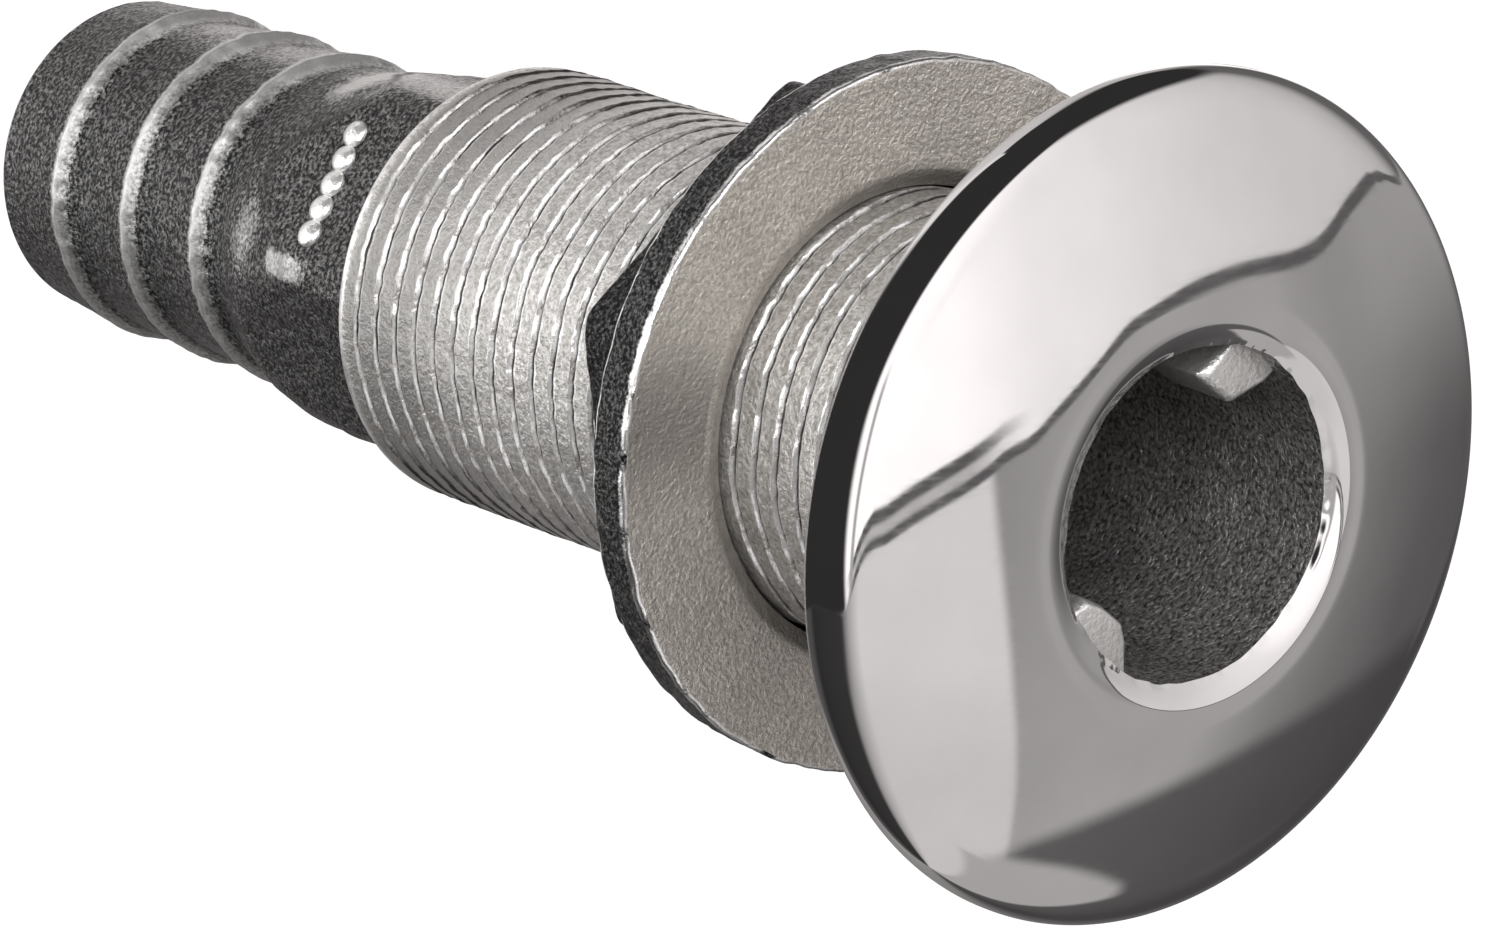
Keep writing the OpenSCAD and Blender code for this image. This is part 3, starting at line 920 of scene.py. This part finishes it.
    # Black beyond the sweep's far edge, high up and at the left.
    centred = math_node("SUBTRACT", height, 3.0)
    bent = math_node("MAXIMUM", centred, math_node("MULTIPLY", centred, 0.45))
    limit = math_node("MULTIPLY_ADD", math_node("MULTIPLY", bent, bent), 0.035, -20.0)
    beyond = all_of(window(math_node("SUBTRACT", azimuth, limit), 3.5, -2.5),
                    window(above, -0.5, 0.5), window(azimuth, -158.0, -150.0))
    high = all_of(window(height, 35.0, 41.0), window(azimuth, -40.0, -20.0),
                  window(azimuth, 150.0, 130.0))
    light = blend(math_node("MAXIMUM", beyond, high), light, 0.03)
    # A bright window low behind the part, at the right.
    behind = all_of(window(azimuth, 120.0, 130.0), window(azimuth, 156.0, 148.0),
                    window(height, -8.0, -2.0), window(height, 22.0, 12.0))
    light = blend(behind, light, 1.3)

    studio = nodes.new("ShaderNodeBackground")
    studio.inputs["Color"].default_value = (1.0, 0.955, 0.948, 1)
    links.new(light, studio.inputs["Strength"])
    white = nodes.new("ShaderNodeBackground")
    white.inputs["Color"].default_value = (1, 1, 1, 1)
    white.inputs["Strength"].default_value = 1.0
    chosen = nodes.new("ShaderNodeMixShader")
    links.new(nodes.new("ShaderNodeLightPath").outputs["Is Camera Ray"], chosen.inputs[0])
    links.new(studio.outputs[0], chosen.inputs[1])
    links.new(white.outputs[0], chosen.inputs[2])
    output = nodes.new("ShaderNodeOutputWorld")
    links.new(chosen.outputs[0], output.inputs[0])


def pale_floor():
    """Plain pale floor well below the part, left out of its reflections and clear from below."""
    size, drop = 6.0, 0.14
    level = fitting_lo.z * MM - drop
    mesh = bpy.data.meshes.new("floor")
    mesh.from_pydata([(-size, -size, level), (size, -size, level), (size, size, level),
                      (-size, size, level)], [], [(0, 1, 2, 3)])
    material = bpy.data.materials.new("pale_floor")
    material.use_nodes = True
    nodes, links = material.node_tree.nodes, material.node_tree.links
    shader = nodes["Principled BSDF"]
    shader.inputs["Base Color"].default_value = (0.9, 0.9, 0.9, 1)
    shader.inputs["Roughness"].default_value = 0.9
    shader.inputs["Emission Color"].default_value = (1, 1, 1, 1)
    shader.inputs["Emission Strength"].default_value = 0.9
    through = nodes.new("ShaderNodeBsdfTransparent")
    one_sided = nodes.new("ShaderNodeMixShader")
    links.new(nodes.new("ShaderNodeNewGeometry").outputs["Backfacing"], one_sided.inputs[0])
    links.new(shader.outputs[0], one_sided.inputs[1])
    links.new(through.outputs[0], one_sided.inputs[2])
    links.new(one_sided.outputs[0], nodes["Material Output"].inputs["Surface"])
    mesh.materials.append(material)
    floor = add_object("floor", mesh)
    floor.visible_glossy = False
    floor.visible_diffuse = False


def camera():
    """Long lens, level, from the front left of the head and a little above."""
    back, distance = direction(-39.77, 16.9), 0.694
    aim = Vector((-0.02115, 0.01727, 0.0022))
    lens = bpy.data.cameras.new("camera")
    lens.lens = 237.3
    lens.sensor_width = 36.0
    lens.clip_start, lens.clip_end = 0.05, 20.0
    eye = bpy.data.objects.new("camera", lens)
    eye.rotation_mode = "QUATERNION"
    eye.location = aim + back * distance
    eye.rotation_quaternion = (-back).to_track_quat("-Z", "Y")
    bpy.context.scene.collection.objects.link(eye)
    bpy.context.scene.camera = eye


def soft_box(name, azimuth, elevation, size, power, lit):
    """A large soft light that lights only the pieces given, so the mirror finish doesn't show it."""
    aim = Vector((0, 0.045, 0))
    towards = direction(azimuth, elevation)
    data = bpy.data.lights.new(name, "AREA")
    data.shape = "RECTANGLE"
    data.size, data.size_y = size
    data.energy = power
    lamp = bpy.data.objects.new(name, data)
    lamp.rotation_mode = "QUATERNION"
    lamp.location = aim + towards * LAMP_DISTANCE
    lamp.rotation_quaternion = towards.to_track_quat("Z", "Y")
    lamp.visible_camera = False
    bpy.context.scene.collection.objects.link(lamp)
    lamp.light_linking.receiver_collection = lit


# ---------------------------------------------------------------- assembly

polished = polished_steel()
tail_cast = cast_steel(
    "dark_cast_tail", dark=(0.012, 0.011, 0.011), light=(0.33, 0.325, 0.32),
    bright=(0.68, 0.67, 0.66), grain=0.32, depth=0.17, rough=0.34, metallic=0.8,
    spread=(0.45, 0.70), wear_and_highlight_rough=0.46)
bore_cast = cast_steel(
    "dark_cast_bore", dark=(0.070, 0.066, 0.064), light=(0.62, 0.60, 0.59),
    bright=(0.80, 0.79, 0.78), grain=0.34, depth=0.24, rough=0.40, metallic=0.75, patchy=0.3)
rim_cast = cast_steel(
    "dark_cast_rim", dark=(0.010, 0.010, 0.010), light=(0.24, 0.238, 0.236),
    bright=(0.92, 0.91, 0.90), grain=0.30, depth=0.22, rough=0.34, spread=(0.46, 0.70))
nut_cast = cast_steel(
    "dark_cast_nut", dark=(0.008, 0.008, 0.008), light=(0.20, 0.20, 0.20),
    bright=(0.80, 0.79, 0.78), grain=0.32, depth=0.22, rough=0.32, spread=(0.48, 0.72))
barrel_satin = cast_steel(
    "satin_cast_barrel", dark=(0.42, 0.40, 0.38), light=(0.77, 0.75, 0.73),
    bright=(0.95, 0.94, 0.93), grain=0.40, depth=0.19, rough=0.36, metallic=0.7, patchy=0.16)
washer_face = cast_steel(
    "satin_cast_face", dark=(0.57, 0.53, 0.48), light=(0.89, 0.84, 0.78),
    bright=(0.86, 0.85, 0.83), grain=0.33, depth=0.19, rough=0.36, metallic=0.75,
    dirt_and_shade_colour=(0.08, 0.075, 0.07))
head_back = cast_steel(
    "turned_back", dark=(0.62, 0.61, 0.60), light=(0.76, 0.75, 0.74),
    bright=(0.9, 0.9, 0.9), grain=0.30, depth=0.03, rough=0.30)
lug_satin = cast_steel(
    "satin_cast_lug", dark=(0.80, 0.79, 0.77), light=(0.94, 0.93, 0.92),
    bright=(0.94, 0.93, 0.92), grain=0.5, depth=0.10, rough=0.32, metallic=0.8)

head = head_piece(polished, head_back)
casting = [
    head,
    barrel_piece(barrel_satin, bore_cast),
    tail_piece(tail_cast, bore_cast),
    lug_piece("driver_lug_upper", UPPER_LUG, lug_satin),
    lug_piece("driver_lug_lower", LOWER_LUG, lug_satin),
    pips_piece(lug_satin),
]
for piece in casting:
    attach(piece, "hull_fitting")
    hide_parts("hull_fitting")

washer = washer_piece(washer_face, rim_cast)
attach(washer, "flange_washer")
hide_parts("flange_washer")

nut = nut_piece(nut_cast)
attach(nut, "hex_nut")
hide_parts("hex_nut")

unpolished = bpy.data.collections.new("unpolished")
for piece in casting + [washer, nut]:
    if piece is not head:
        unpolished.objects.link(piece)
for name, azimuth, elevation, size, power in SOFT_BOXES:
    soft_box(name, azimuth, elevation, size, power, unpolished)

studio_world()
pale_floor()
camera()
bpy.context.scene.view_settings.view_transform = "Standard"
